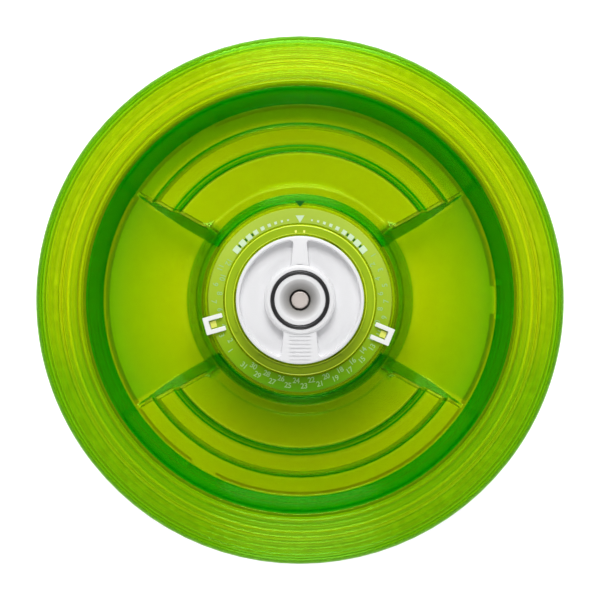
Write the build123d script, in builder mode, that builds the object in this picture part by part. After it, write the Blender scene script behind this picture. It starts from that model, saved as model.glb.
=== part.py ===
from build123d import *
import os
from math import acos, cos, pi, radians, sin, tan

# Hand-turned salad spinner. Millimetres, +Z up, origin at the centre of the foot ring's underside.
# The knob carries a ring gear, three planets turn on fixed pins, and the sun gear drives the basket.

# Driving dimensions
LID_R = 131.0            # outside radius of the lid, the widest part
RIM_Z = 158.0            # height of the lid's flat rim and of the turret's top
WALL = 2.4               # moulded wall of the lid
BOWL_WALL = 2.4
BASKET_WALL = 2.0
FIT = 0.05               # radial clearance of a turning fit
GAP = 0.3                # gap between pieces that pass without touching

# Lid
SKIRT_H = 13.0           # depth of the lid's outer skirt
EDGE_R = 4.0             # rounding of the lid's outer edge
RIDGE_COUNT = 7
RIDGE_FIRST_R = 109.5    # radius of the innermost ridge crest
RIDGE_PITCH = 2.85
RIDGE_H = 0.55
RIDGE_ROUND = 1.2        # radius of a ridge's crest
DISH_TOP_R = 106.8       # where the rim turns down into the dish
DISH_FOOT_R = 100.4      # foot of the drafted dish wall
TERRACE_LOW_R = 88.2     # middle of the outer step
TERRACE_HIGH_R = 75.8    # middle of the inner step
TERRACE_HIGH_Z = -12.0   # terrace heights below the rim
TERRACE_MID_Z = -16.0
TERRACE_LOW_Z = -20.0
TURRET_R = 48.8          # turret's top edge
TURRET_FOOT_R = 52.0     # where the turret's wall ends in a cove
TURRET_FOOT_Z = -8.4
COVE_R = 56.5
WELL_DEEP_Z = -32.0      # finger well's depth beside the turret
WELL_SHALLOW_Z = -19.2   # and at its outer end
WELL_OUTER_R = 98.3
WELL_HUB_TOP_R = 50.1    # the well's wall against the turret, at its top and foot
WELL_HUB_FOOT_R = 57.2
WELL_FLAT_R = 63.0       # where the floor starts to curve upwards
WELL_DRAFT = 15.0        # draft of the well's straight sides, degrees
WELL_SIDE_Y = 1.5        # the straight sides, at the draft's base: y = WELL_SIDE_Y + WELL_SIDE_SLOPE * x
WELL_SIDE_SLOPE = 0.57
WELL_BASE_Z = -36.0
TURRET_PLATE = 2.4       # thickness of the turret's top plate
SEAL_IN_R = 119.8
SEAL_OUT_R = 124.4
SCREW_R = 1.5

# Dial and pointers
DIAL_IN_R = 38.0
DIAL_OUT_R = 45.4
DIAL_SEAT = 1.2          # depth of the seat that the dial ring lies in
DIAL_PROUD = 0.3
COLLAR_IN_R = 32.6
COLLAR_OUT_R = 37.2
COLLAR_H = 1.5
COLLAR_BAR_R = 34.8      # raised bars on the collar
COLLAR_BAR_W = 2.2
TRACK_R = 46.7           # middle of the pointers' annular track
POINTER_ARM_R = 39.0     # inner ends of a pointer's arms
POINTER_OUT_R = 49.0
POINTER_W = 8.8
POINTER_WINDOW_W = 4.4
POINTER_T = 1.7
KEY_HALF = 3.7           # half the angle that a pointer's key takes up in its track
MONTH_AT = 195.75        # where the pointers stand, and the ends of their travel, from +X anticlockwise
MONTH_TRAVEL = (152.0, 216.0)
DAY_AT = -22.5
DAY_TRAVEL = (-130.5, 31.5)

# Knob
KNOB_R = 31.4
KNOB_Z0 = RIM_Z + 0.8
KNOB_TOP_Z = RIM_Z + 12.0
KNOB_PLATE = 2.6
KNOB_LIP = 1.5           # width of the lip left round the recessed grip panels
PANEL_DEPTH = 4.6
BOSS_R = 16.2            # raised boss in the knob's middle
BOSS_RISE = 1.2
PORT_TOP_R = 10.2        # conical port
PORT_FOOT_R = 5.25
PORT_DEPTH = 6.0
ORING_R = 13.5
ORING_BODY_R = 1.0
NECK_R = 9.0
BUSH_R = 12.0
THRUST_R = 18.0
KNOB_SCREW_R = 1.0
KNOB_SCREW_AT_R = 6.7

# Gear train: ring on the knob, fixed planet pins, sun on the spindle
MODULE = 0.9
RING_TEETH = 54
PLANET_TEETH = 18
SUN_TEETH = 18
PLANET_COUNT = 3
PRESSURE_ANGLE = 20.0
ADDENDUM = 0.9 * MODULE
DEDENDUM = 1.2 * MODULE
BACKLASH = 0.16
RING_OUT_R = 28.6
RING_PLATE_Z = RIM_Z - 6.3
RING_PLATE = 2.5
GEAR_Z0 = RIM_Z - 16.0
GEAR_H = 7.4
CARRIER_Z0 = RIM_Z - 20.5
CARRIER_H = 3.0
CARRIER_SCREW_R = 36.0
PLANET_PIN_R = 2.0
SPINDLE_R = 4.25
SPINDLE_CLEAR = 0.07     # round the spindle in the knob's bore
SPINDLE_TAIL_R = 3.5
THREAD_R = 3.0
SPINDLE_TOP_Z = RIM_Z + 7.2
LOWER_BUSH_R = 7.5
CLIP_R = 3.6
CLIP_T = 0.9
SPINDLE_SHOULDER_Z = 123.0
SPINDLE_FOOT_Z = 104.0
TAIL_FLAT = 2.8          # half the width across the two driving flats

# Drive plate and basket
DRIVE_R = 98.0
DRIVE_Z = 117.0
DRIVE_T = 2.5
DRIVE_HUB_R = 12.0
DOG_COUNT = 3
DOG_W = 14.0
DOG_TIP_R = 102.3
RIB_W = 2.5
RIB_H = 16.0
DRIVE_RIB_COUNT = 6
NUT_FLATS = 10.0
NUT_H = 4.8
DRIVE_WASHER_R = 8.0
DRIVE_WASHER_T = 1.2
DRIVE_HUB_DROP = 6.0     # hub's depth below the plate
BASKET_TOP_R = 112.0     # outside radius at the top
BASKET_TOP_Z = 151.0
BASKET_FOOT_R = 88.0
BASKET_FLOOR_Z = 24.0
BASKET_LIP = 3.0
SLEEVE_R = 10.5          # sleeve under the floor that holds the bush
SLEEVE_DROP = 8.0
BASKET_BUSH_R = 7.0
BASKET_BUSH_FLANGE = 1.2
SLOT_W = 3.0
SLOT_COUNT = 40
SLOT_ROWS = ((32.0, 24.0), (60.0, 25.0))
FLOOR_SLOT_COUNT = 20
FLOOR_RIB_COUNT = 10

# Bowl
BOWL_BASE_R = 80.0
BOWL_BASE_Z = 1.5
BOWL_SHOULDER_R = 98.0
BOWL_SHOULDER_Z = 24.0   # where the rounded base meets the drafted wall
BOWL_FLOOR = 2.8
BOWL_TOP_R = 122.0
BOWL_TOP_Z = 152.5
BOWL_LIP_R = 126.0
BOWL_LIP_H = 6.0
FOOT_IN_R = 66.0
FOOT_OUT_R = 72.0
FOOT_GROOVE = 1.4         # depth of the groove that holds the foot ring
PIVOT_R = 4.0
PIVOT_SHANK_R = 3.0
PIVOT_BOSS_Z = 12.0
PIVOT_TOP_Z = 22.0

os.makedirs("parts", exist_ok=True)


def save(piece, name):
    """Label a finished piece and write it as its own STEP file."""
    piece.part.label = name
    export_step(piece.part, f"parts/{name}.step")


def tooth_points(pitch_r, tip_r, root_r, half_tooth):
    """Right flank of one tooth on the +X axis, from the root to the tip, by the involute."""
    base_r = pitch_r * cos(radians(PRESSURE_ANGLE))

    def involute(r):
        pressure = acos(min(1.0, base_r / r))
        return tan(pressure) - pressure

    start_r = max(base_r, root_r)
    flank = [(root_r, half_tooth + involute(pitch_r))]
    steps = 5
    for i in range(steps + 1):
        r = start_r + (tip_r - start_r) * i / steps
        flank.append((r, half_tooth + involute(pitch_r) - involute(r)))
    return [(r * cos(a), -r * sin(a)) for r, a in flank]


def gear_outline(teeth, tip_r, root_r, widen=0.0):
    """Outline of an external gear with a tooth centred on +X. widen is added to each tooth's width."""
    pitch_r = teeth * MODULE / 2
    half_tooth = pi / (2 * teeth) + widen / (2 * pitch_r)
    right = tooth_points(pitch_r, tip_r, root_r, half_tooth)
    if right[0][0] > right[1][0] - 0.01:
        right = right[1:]
    left = [(x, -y) for x, y in right]
    with BuildSketch() as tooth:
        with BuildLine():
            Line((root_r - 0.6, right[0][1]), right[0])
            if len(right) > 6:
                Line(right[0], right[1])
            Spline(right[-6:])
            ThreePointArc(right[-1], (tip_r, 0), left[-1])
            Spline(left[-6:])
            if len(left) > 6:
                Line(left[1], left[0])
            Line(left[0], (root_r - 0.6, left[0][1]))
            Line((root_r - 0.6, left[0][1]), (root_r - 0.6, right[0][1]))
        make_face()
    with BuildSketch() as outline:
        Circle(root_r)
        with PolarLocations(0, teeth):
            add(tooth.sketch)
    return outline.sketch


# ---------------------------------------------------------------- bowl

bowl_slope = (BOWL_TOP_R - BOWL_SHOULDER_R) / (BOWL_TOP_Z - BOWL_SHOULDER_Z)
with BuildPart() as bowl:
    with BuildSketch(Plane.XZ):
        with BuildLine():
            Polyline((0, BOWL_BASE_Z), (BOWL_BASE_R, BOWL_BASE_Z))
            Spline((BOWL_BASE_R, BOWL_BASE_Z), (BOWL_SHOULDER_R, BOWL_SHOULDER_Z),
                   tangents=[(1, 0), (bowl_slope, 1)], tangent_scalars=[1.0, 1.0])
            Polyline((BOWL_SHOULDER_R, BOWL_SHOULDER_Z),
                     (BOWL_TOP_R - BOWL_LIP_H * bowl_slope, BOWL_TOP_Z - BOWL_LIP_H),
                     (BOWL_LIP_R - 1.6, BOWL_TOP_Z - BOWL_LIP_H), (BOWL_LIP_R, BOWL_TOP_Z - 5.2),
                     (BOWL_LIP_R, BOWL_TOP_Z - 1.2), (BOWL_LIP_R - 1.2, BOWL_TOP_Z),
                     (BOWL_TOP_R - BOWL_WALL, BOWL_TOP_Z),
                     (BOWL_SHOULDER_R - BOWL_WALL, BOWL_SHOULDER_Z))
            Spline((BOWL_SHOULDER_R - BOWL_WALL, BOWL_SHOULDER_Z), (BOWL_BASE_R - 2.0,
                                                                    BOWL_BASE_Z + BOWL_FLOOR),
                   tangents=[(-bowl_slope, -1), (-1, 0)], tangent_scalars=[1.0, 1.0])
            Polyline((BOWL_BASE_R - 2.0, BOWL_BASE_Z + BOWL_FLOOR), (10.0, BOWL_BASE_Z + BOWL_FLOOR),
                     (8.0, PIVOT_BOSS_Z),
                     (0, PIVOT_BOSS_Z), (0, BOWL_BASE_Z))
        make_face()
    revolve(axis=Axis.Z)
    with BuildSketch(Plane.XY.offset(BOWL_BASE_Z)):
        Circle(FOOT_OUT_R)
        Circle(FOOT_IN_R, mode=Mode.SUBTRACT)
    extrude(amount=FOOT_GROOVE, mode=Mode.SUBTRACT)
    with Locations((0, 0, PIVOT_BOSS_Z)):
        Hole(radius=PIVOT_SHANK_R, depth=7.0)
save(bowl, "bowl")

with BuildPart() as bowl_foot_ring:
    with BuildSketch():
        Circle(FOOT_OUT_R)
        Circle(FOOT_IN_R, mode=Mode.SUBTRACT)
    extrude(amount=BOWL_BASE_Z + FOOT_GROOVE)
    fillet(bowl_foot_ring.edges().group_by(Axis.Z)[0], radius=0.8)
save(bowl_foot_ring, "bowl_foot_ring")

with BuildPart() as bowl_pivot:
    with BuildSketch(Plane.XZ):
        with BuildLine():
            Polyline((0, 5.0), (PIVOT_SHANK_R, 5.0), (PIVOT_SHANK_R, PIVOT_BOSS_Z), (6.0, PIVOT_BOSS_Z),
                     (6.0, PIVOT_BOSS_Z + 1.6), (PIVOT_R, PIVOT_BOSS_Z + 1.6),
                     (PIVOT_R, PIVOT_TOP_Z - 1.4))
            TangentArc((PIVOT_R, PIVOT_TOP_Z - 1.4), (PIVOT_R - 1.4, PIVOT_TOP_Z), tangent=(0, 1))
            Polyline((PIVOT_R - 1.4, PIVOT_TOP_Z), (0, PIVOT_TOP_Z), (0, 5.0))
        make_face()
    revolve(axis=Axis.Z)
save(bowl_pivot, "bowl_pivot")

# ---------------------------------------------------------------- basket

basket_slope = (BASKET_TOP_R - BASKET_FOOT_R) / (BASKET_TOP_Z - BASKET_FLOOR_Z)


def basket_inner_r(z):
    """Inside radius of the basket's drafted wall at height z."""
    return BASKET_FOOT_R + (z - BASKET_FLOOR_Z) * basket_slope - BASKET_WALL


def slot_cutter(length, from_r, to_r):
    """A rounded vertical slot that reaches along +X from one radius to another."""
    with BuildPart(mode=Mode.PRIVATE) as cutter:
        with BuildSketch(Plane.YZ.offset(from_r)):
            SlotOverall(length, SLOT_W, rotation=90)
        extrude(amount=to_r - from_r)
    return cutter.part


# pairs of inside ribs that the drive plate's dogs push against, cut to the wall's draft
rib_from_r = DRIVE_R + 1.6
rib_offset = DOG_W / 2 + 2 * GAP + RIB_W / 2
with BuildPart() as dog_ribs:
    with BuildSketch(Plane.XY.offset(DRIVE_Z - 10.0)):
        with PolarLocations(0, DOG_COUNT):
            with Locations((rib_from_r + 5.0, -rib_offset), (rib_from_r + 5.0, rib_offset)):
                Rectangle(10.0, RIB_W)
    extrude(amount=RIB_H)
    with BuildSketch(Plane.XZ):
        with BuildLine():
            Polyline((0, 90.0), (basket_inner_r(90.0) + 1.0, 90.0), (basket_inner_r(140.0) + 1.0, 140.0),
                     (0, 140.0), (0, 90.0))
        make_face()
    revolve(axis=Axis.Z, mode=Mode.INTERSECT)

with BuildPart() as basket:
    with BuildSketch(Plane.XZ):
        with BuildLine():
            FilletPolyline((0, BASKET_FLOOR_Z), (BASKET_FOOT_R, BASKET_FLOOR_Z),
                           (BASKET_TOP_R - 4 * basket_slope, BASKET_TOP_Z - 4.0),
                           (BASKET_TOP_R + BASKET_LIP, BASKET_TOP_Z - 4.0),
                           (BASKET_TOP_R + BASKET_LIP, BASKET_TOP_Z),
                           (BASKET_TOP_R - BASKET_WALL, BASKET_TOP_Z),
                           (BASKET_FOOT_R - BASKET_WALL, BASKET_FLOOR_Z + BASKET_WALL),
                           (0, BASKET_FLOOR_Z + BASKET_WALL),
                           radius=(8.0, 0.6, 0.8, 0.8, 0.6, 6.0))
            Line((0, BASKET_FLOOR_Z + BASKET_WALL), (0, BASKET_FLOOR_Z))
        make_face()
    revolve(axis=Axis.Z)
    for start_z, length in SLOT_ROWS:
        with Locations((0, 0, start_z + length / 2)):
            with PolarLocations(0, SLOT_COUNT):
                add(slot_cutter(length, BASKET_FOOT_R - 10, LID_R), mode=Mode.SUBTRACT)
    with BuildSketch(Plane.XY.offset(BASKET_FLOOR_Z - 1)):
        with PolarLocations(52.0, FLOOR_SLOT_COUNT):
            SlotOverall(44.0, SLOT_W)
        with PolarLocations(20.0, FLOOR_SLOT_COUNT // 2):
            SlotOverall(11.0, SLOT_W)
    extrude(amount=BASKET_WALL + 2, mode=Mode.SUBTRACT)
    # ribs under the floor, and the sleeve that holds the bush
    with BuildSketch(Plane.XY.offset(BASKET_FLOOR_Z - 4.0)):
        with PolarLocations(46.0, FLOOR_RIB_COUNT, start_angle=9.0):
            Rectangle(72.0, 2.0)
    extrude(amount=4.5)
    with BuildSketch(Plane.XY.offset(BASKET_FLOOR_Z - SLEEVE_DROP)):
        Circle(SLEEVE_R)
    extrude(amount=SLEEVE_DROP + 4.0)
    with BuildSketch(Plane.XY.offset(BASKET_FLOOR_Z - SLEEVE_DROP)):
        Circle(BASKET_BUSH_R)
    extrude(amount=SLEEVE_DROP + 1.0, mode=Mode.SUBTRACT)
    add(dog_ribs.part)
save(basket, "basket")

with BuildPart() as basket_bush:
    with BuildSketch(Plane.XY.offset(BASKET_FLOOR_Z - SLEEVE_DROP)):
        Circle(BASKET_BUSH_R)
    extrude(amount=SLEEVE_DROP + 1.0)
    with BuildSketch(Plane.XY.offset(BASKET_FLOOR_Z - SLEEVE_DROP - BASKET_BUSH_FLANGE)):
        Circle(9.0)
    extrude(amount=BASKET_BUSH_FLANGE)
    with BuildSketch(Plane.XY.offset(BASKET_FLOOR_Z - SLEEVE_DROP - BASKET_BUSH_FLANGE)):
        Circle(PIVOT_R + FIT)
    extrude(amount=PIVOT_TOP_Z + 0.3 - (BASKET_FLOOR_Z - SLEEVE_DROP - BASKET_BUSH_FLANGE),
            mode=Mode.SUBTRACT)
save(basket_bush, "basket_bush")

# ---------------------------------------------------------------- lid shell


def lid_section(bottom_z):
    """Section under the lid's upper surface, round all the way, as if it had no finger wells."""
    with BuildSketch(Plane.XZ) as section:
        with BuildLine():
            FilletPolyline((-20.0, 0), (TURRET_R, 0), (TURRET_FOOT_R, TURRET_FOOT_Z),
                           (COVE_R, TERRACE_HIGH_Z), (TERRACE_HIGH_R - 1.4, TERRACE_HIGH_Z),
                           (TERRACE_HIGH_R + 1.4, TERRACE_MID_Z), (TERRACE_LOW_R - 0.6, TERRACE_MID_Z),
                           (TERRACE_LOW_R + 0.8, TERRACE_LOW_Z), (DISH_FOOT_R - 1.6, TERRACE_LOW_Z),
                           (DISH_TOP_R - 1.0, 0), (LID_R, 0), (LID_R, bottom_z),
                           radius=(1.2, 4.0, 3.0, 0.9, 0.9, 0.6, 0.8, 5.0, 1.5, EDGE_R))
            Polyline((LID_R, bottom_z), (-20.0, bottom_z), (-20.0, 0))
        make_face()
    return section.sketch


def well_section(top_z):
    """Section of the space above a finger well's floor."""
    with BuildSketch(Plane.XZ) as section:
        with BuildLine():
            FilletPolyline((WELL_HUB_TOP_R, top_z), (WELL_HUB_TOP_R, 0), (WELL_HUB_FOOT_R, WELL_DEEP_Z),
                           (WELL_FLAT_R, WELL_DEEP_Z), radius=(0, 2.4))
            TangentArc((WELL_FLAT_R, WELL_DEEP_Z), (WELL_OUTER_R, WELL_SHALLOW_Z), tangent=(1, 0))
            Polyline((WELL_OUTER_R, WELL_SHALLOW_Z), (WELL_OUTER_R, top_z), (WELL_HUB_TOP_R, top_z))
        make_face()
    return section.sketch


def well_outline(base_z):
    """Plan of a finger well on the +X side at the foot of its drafted sides."""
    near_x, far_x = 36.0, 112.0
    near_y = WELL_SIDE_Y + WELL_SIDE_SLOPE * near_x
    far_y = WELL_SIDE_Y + WELL_SIDE_SLOPE * far_x
    with BuildSketch(Plane.XY.offset(base_z)) as outline:
        Polygon((near_x, -near_y), (far_x, -far_y), (far_x, far_y), (near_x, near_y), align=None)
    return outline.sketch


def revolved(sketch, grow=0.0):
    """Revolve the part of a section that lies at positive radius, grown by an offset."""
    with BuildPart() as body:
        with BuildSketch(Plane.XZ):
            add(sketch)
            if grow:
                offset(amount=grow)
            with Locations((100, 0)):
                Rectangle(200, 400, mode=Mode.INTERSECT)
        revolve(axis=Axis.Z)
    return body.part


def wells(grow=0.0):
    """Both finger wells as solids, grown on every side by the wall's thickness."""
    with BuildPart() as both:
        with BuildSketch(Plane.XY.offset(WELL_BASE_Z - grow)):
            add(well_outline(0))
            if grow:
                offset(amount=grow / cos(radians(WELL_DRAFT)) - grow * tan(radians(WELL_DRAFT)))
        extrude(amount=-WELL_BASE_Z + grow + 6.0, taper=-WELL_DRAFT)
        add(revolved(well_section(3.0), grow), mode=Mode.INTERSECT)
        mirror(about=Plane.YZ)
    return both.part


lid_top = revolved(lid_section(-90.0))
lid_under = revolved(lid_section(-110.0), -WALL)

with BuildPart() as lid_under_with_wells:
    add(lid_under)
    add(wells(WALL), mode=Mode.SUBTRACT)

with BuildPart() as lid_blank:
    add(lid_top)
    add(wells(), mode=Mode.SUBTRACT)
    add(lid_under_with_wells.part, mode=Mode.SUBTRACT)
    # trim the skirt to its depth, and everything below the wells
    with BuildSketch(Plane.XY.offset(-SKIRT_H)):
        Circle(LID_R + 5)
        Circle(DISH_TOP_R + 6, mode=Mode.SUBTRACT)
    extrude(amount=-150, mode=Mode.SUBTRACT)
    with BuildSketch(Plane.XY.offset(WELL_DEEP_Z - WALL - 0.4)):
        Circle(LID_R + 5)
    extrude(amount=-150, mode=Mode.SUBTRACT)


def track(arc_from, arc_to, mouth_top_z, grow=0.0):
    """Key of a pointer, or with grow the undercut track it runs in, swept over an arc."""
    mouth, root = 0.45 + grow, 0.75 + grow
    with BuildPart() as swept:
        with BuildSketch(Plane.XZ.rotated((0, 0, arc_from))):
            with Locations((TRACK_R, RIM_Z - 1.2)):
                Rectangle(2 * mouth, mouth_top_z - RIM_Z + 1.2, align=(Align.CENTER, Align.MIN))
            with Locations((TRACK_R, RIM_Z - 1.3)):
                Rectangle(2 * root, 0.8 + grow)
        revolve(axis=Axis.Z, revolution_arc=arc_to - arc_from)
    return swept.part


with BuildPart() as lid_shell:
    with Locations((0, 0, RIM_Z)):
        add(lid_blank.part)
    # fine ridges round the rim
    with BuildSketch(Plane.XZ):
        for ridge in range(RIDGE_COUNT):
            with Locations((RIDGE_FIRST_R + RIDGE_PITCH * ridge, RIM_Z + RIDGE_H - RIDGE_ROUND)):
                Circle(RIDGE_ROUND)
    revolve(axis=Axis.Z)
    # two ribs under the rim that hold the seal
    with BuildSketch(Plane.XY.offset(RIM_Z - WALL - 1.2)):
        for rib_r in (SEAL_IN_R - 1.2, SEAL_OUT_R):
            Circle(rib_r + 1.2)
            Circle(rib_r, mode=Mode.SUBTRACT)
    extrude(amount=1.4)
    # bosses for the gear plate's screws
    with BuildSketch(Plane.XY.offset(CARRIER_Z0 + CARRIER_H)):
        with PolarLocations(CARRIER_SCREW_R, PLANET_COUNT, start_angle=60):
            Circle(4.2)
    extrude(amount=RIM_Z - TURRET_PLATE - CARRIER_Z0 - CARRIER_H + 0.6)
    with BuildSketch(Plane.XY.offset(CARRIER_Z0 + CARRIER_H)):
        with PolarLocations(CARRIER_SCREW_R, PLANET_COUNT, start_angle=60):
            Circle(SCREW_R + FIT)
    extrude(amount=11.0, mode=Mode.SUBTRACT)
    # seat for the dial ring, and the turret's bore
    with BuildSketch(Plane.XY.offset(RIM_Z)):
        Circle(DIAL_OUT_R + GAP)
        Circle(DIAL_IN_R - GAP, mode=Mode.SUBTRACT)
    extrude(amount=-DIAL_SEAT, mode=Mode.SUBTRACT)
    with Locations((0, 0, RIM_Z)):
        Hole(radius=BUSH_R, depth=8.0)
    for travel in (MONTH_TRAVEL, DAY_TRAVEL):
        add(track(travel[0] - KEY_HALF - 0.5, travel[1] + KEY_HALF + 0.5, RIM_Z + 0.1, 0.25),
            mode=Mode.SUBTRACT)
save(lid_shell, "lid_shell")

with BuildPart() as lid_seal:
    with BuildSketch(Plane.XZ):
        with Locations(((SEAL_IN_R + SEAL_OUT_R) / 2, (BOWL_TOP_Z + RIM_Z - WALL) / 2)):
            Rectangle(SEAL_OUT_R - SEAL_IN_R, RIM_Z - WALL - BOWL_TOP_Z)
        with Locations(((SEAL_IN_R + SEAL_OUT_R) / 2, BOWL_TOP_Z)):
            SlotOverall(2.2, 0.9, mode=Mode.SUBTRACT)
    revolve(axis=Axis.Z)
save(lid_seal, "lid_seal")

with BuildPart() as dial_ring:
    with BuildSketch(Plane.XY.offset(RIM_Z - DIAL_SEAT)):
        Circle(DIAL_OUT_R)
        Circle(DIAL_IN_R, mode=Mode.SUBTRACT)
    extrude(amount=DIAL_SEAT + DIAL_PROUD)
    fillet(dial_ring.edges().group_by(Axis.Z)[-1], radius=0.2)
save(dial_ring, "dial_ring")

with BuildPart() as collar:
    with BuildSketch(Plane.XY.offset(RIM_Z)):
        Circle(COLLAR_OUT_R)
        Circle(COLLAR_IN_R, mode=Mode.SUBTRACT)
    extrude(amount=COLLAR_H)
    fillet(collar.edges().group_by(Axis.Z)[-1], radius=0.6)
    # raised bars: one on each side, two at the front with a gap between them
    with BuildSketch(Plane.XY.offset(RIM_Z + COLLAR_H - 0.4)):
        for bar_from, bar_sweep in ((-25.0, 50.0), (155.0, 50.0), (-125.0, 32.5), (-87.5, 32.5)):
            SlotArc(CenterArc((0, 0), COLLAR_BAR_R, bar_from, bar_sweep, mode=Mode.PRIVATE), COLLAR_BAR_W)
    extrude(amount=1.1)
save(collar, "collar")


def pointer(at):
    """U-shaped pointer: base outside, two arms reaching in over the dial, and a key in the track."""
    window_to_r = POINTER_OUT_R - 2.6
    with BuildPart() as slider:
        with BuildSketch(Plane.XY.offset(RIM_Z + DIAL_PROUD + GAP)):
            with PolarLocations(0, 1, start_angle=at):
                with Locations(((POINTER_ARM_R + POINTER_OUT_R) / 2, 0)):
                    Rectangle(POINTER_OUT_R - POINTER_ARM_R, POINTER_W)
                with Locations(((POINTER_ARM_R - 1 + window_to_r) / 2, 0)):
                    Rectangle(window_to_r - POINTER_ARM_R + 1, POINTER_WINDOW_W, mode=Mode.SUBTRACT)
        extrude(amount=POINTER_T)
        fillet(slider.edges().filter_by(Axis.Z), radius=0.45)
        fillet(slider.edges().group_by(Axis.Z)[-1], radius=0.35)
        add(track(at - KEY_HALF, at + KEY_HALF, RIM_Z + DIAL_PROUD + GAP + 0.1))
    return slider


month_pointer = pointer(MONTH_AT)
save(month_pointer, "month_pointer")
day_pointer = pointer(DAY_AT)
save(day_pointer, "day_pointer")

# ---------------------------------------------------------------- knob

knob_cavity_z = KNOB_TOP_Z - PANEL_DEPTH - KNOB_PLATE
boss_z = KNOB_TOP_Z + BOSS_RISE
with BuildPart() as knob:
    with BuildSketch(Plane.XZ):
        with BuildLine():
            FilletPolyline((PORT_FOOT_R, boss_z - PORT_DEPTH), (PORT_TOP_R, boss_z),
                           (ORING_R - ORING_BODY_R, boss_z), (ORING_R - ORING_BODY_R, boss_z - 1.3),
                           (ORING_R + ORING_BODY_R, boss_z - 1.3), (ORING_R + ORING_BODY_R, boss_z),
                           (BOSS_R, boss_z), (BOSS_R + 0.8, KNOB_TOP_Z), (KNOB_R, KNOB_TOP_Z),
                           (KNOB_R, KNOB_Z0), (KNOB_R - 2.5, KNOB_Z0),
                           (KNOB_R - 2.5, knob_cavity_z), (NECK_R, knob_cavity_z),
                           (NECK_R, RING_PLATE_Z + RING_PLATE),
                           radius=(0.8, 0.3, 0.1, 0.1, 0.3, 0.6, 0.3, 0.9, 0.3, 0.3, 0.6, 0.6))
            Polyline((NECK_R, RING_PLATE_Z + RING_PLATE), (SPINDLE_R + SPINDLE_CLEAR,
                                                           RING_PLATE_Z + RING_PLATE),
                     (SPINDLE_R + SPINDLE_CLEAR, RIM_Z + 2.0), (PORT_FOOT_R, RIM_Z + 2.0),
                     (PORT_FOOT_R, boss_z - PORT_DEPTH))
        make_face()
    revolve(axis=Axis.Z)
    # recessed grip panels either side of the narrow pointer rib and the wide ridged rib
    with BuildSketch(Plane.XY.offset(KNOB_TOP_Z)) as panels:
        Circle(KNOB_R - KNOB_LIP)
        Circle(BOSS_R + 0.8, mode=Mode.SUBTRACT)
        Polygon((-4.6, BOSS_R - 4), (4.6, BOSS_R - 4), (2.9, KNOB_R), (-2.9, KNOB_R),
                align=None, mode=Mode.SUBTRACT)
        Polygon((-7.6, 4 - BOSS_R), (7.6, 4 - BOSS_R), (9.2, -KNOB_R), (-9.2, -KNOB_R),
                align=None, mode=Mode.SUBTRACT)
        fillet(panels.vertices(), radius=1.8)
    extrude(amount=-PANEL_DEPTH, taper=7, mode=Mode.SUBTRACT)
    # fine wedge on the pointer rib, grip ridges on the wide rib
    with BuildSketch(Plane.XY.offset(KNOB_TOP_Z)):
        Polygon((-1.3, BOSS_R + 1.4), (1.3, BOSS_R + 1.4), (2.0, KNOB_R - 1.3), (-2.0, KNOB_R - 1.3),
                align=None)
        with GridLocations(0, 1.92, 1, 7):
            with Locations((0, -23.0)):
                SlotOverall(10.6, 0.8)
    extrude(amount=0.35)
    with BuildSketch(Plane.XY.offset(RING_PLATE_Z + RING_PLATE)):
        with PolarLocations(KNOB_SCREW_AT_R, 3, start_angle=90):
            Circle(KNOB_SCREW_R + FIT)
    extrude(amount=7.0, mode=Mode.SUBTRACT)
save(knob, "knob")

with BuildPart() as knob_o_ring:
    with Locations((0, 0, boss_z - 0.35)):
        Torus(ORING_R, ORING_BODY_R - 0.08)
save(knob_o_ring, "knob_o_ring")


def screws(shank_r, shank_len, head_r, head_h, top_z, at_r, start):
    """Three screws driven upwards, with crosses in their heads. top_z is where the heads seat."""
    with BuildPart() as three:
        with BuildSketch(Plane.XY.offset(top_z)):
            with PolarLocations(at_r, 3, start_angle=start):
                Circle(shank_r)
        extrude(amount=shank_len)
        with BuildSketch(Plane.XY.offset(top_z)):
            with PolarLocations(at_r, 3, start_angle=start):
                Circle(head_r)
        extrude(amount=-head_h, taper=12)
        with BuildSketch(Plane.XY.offset(top_z - head_h)):
            with PolarLocations(at_r, 3, start_angle=start):
                Rectangle(head_r, head_r / 4)
                Rectangle(head_r / 4, head_r)
        extrude(amount=head_h / 2, mode=Mode.SUBTRACT)
    return three


knob_screws = screws(KNOB_SCREW_R, 8.0, 1.8, 1.4, RING_PLATE_Z, KNOB_SCREW_AT_R, 90)
save(knob_screws, "knob_screws")

ring_pitch_r = RING_TEETH * MODULE / 2
ring_space = gear_outline(RING_TEETH, ring_pitch_r + DEDENDUM, ring_pitch_r - ADDENDUM, BACKLASH)
with BuildPart() as ring_gear:
    with BuildSketch(Plane.XY.offset(GEAR_Z0)):
        Circle(RING_OUT_R)
        add(ring_space.rotate(Axis.Z, 180 / RING_TEETH), mode=Mode.SUBTRACT)
    extrude(amount=RING_PLATE_Z - GEAR_Z0)
    with BuildSketch(Plane.XY.offset(RING_PLATE_Z)):
        Circle(RING_OUT_R)
        Circle(SPINDLE_R + 0.6, mode=Mode.SUBTRACT)
        with PolarLocations(KNOB_SCREW_AT_R, 3, start_angle=90):
            Circle(KNOB_SCREW_R + FIT, mode=Mode.SUBTRACT)
    extrude(amount=RING_PLATE)
save(ring_gear, "ring_gear")

with BuildPart() as thrust_washer:
    with BuildSketch(Plane.XY.offset(RING_PLATE_Z + RING_PLATE)):
        Circle(THRUST_R)
        Circle(BUSH_R + 0.4, mode=Mode.SUBTRACT)
    extrude(amount=1.1)
save(thrust_washer, "thrust_washer")

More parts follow.
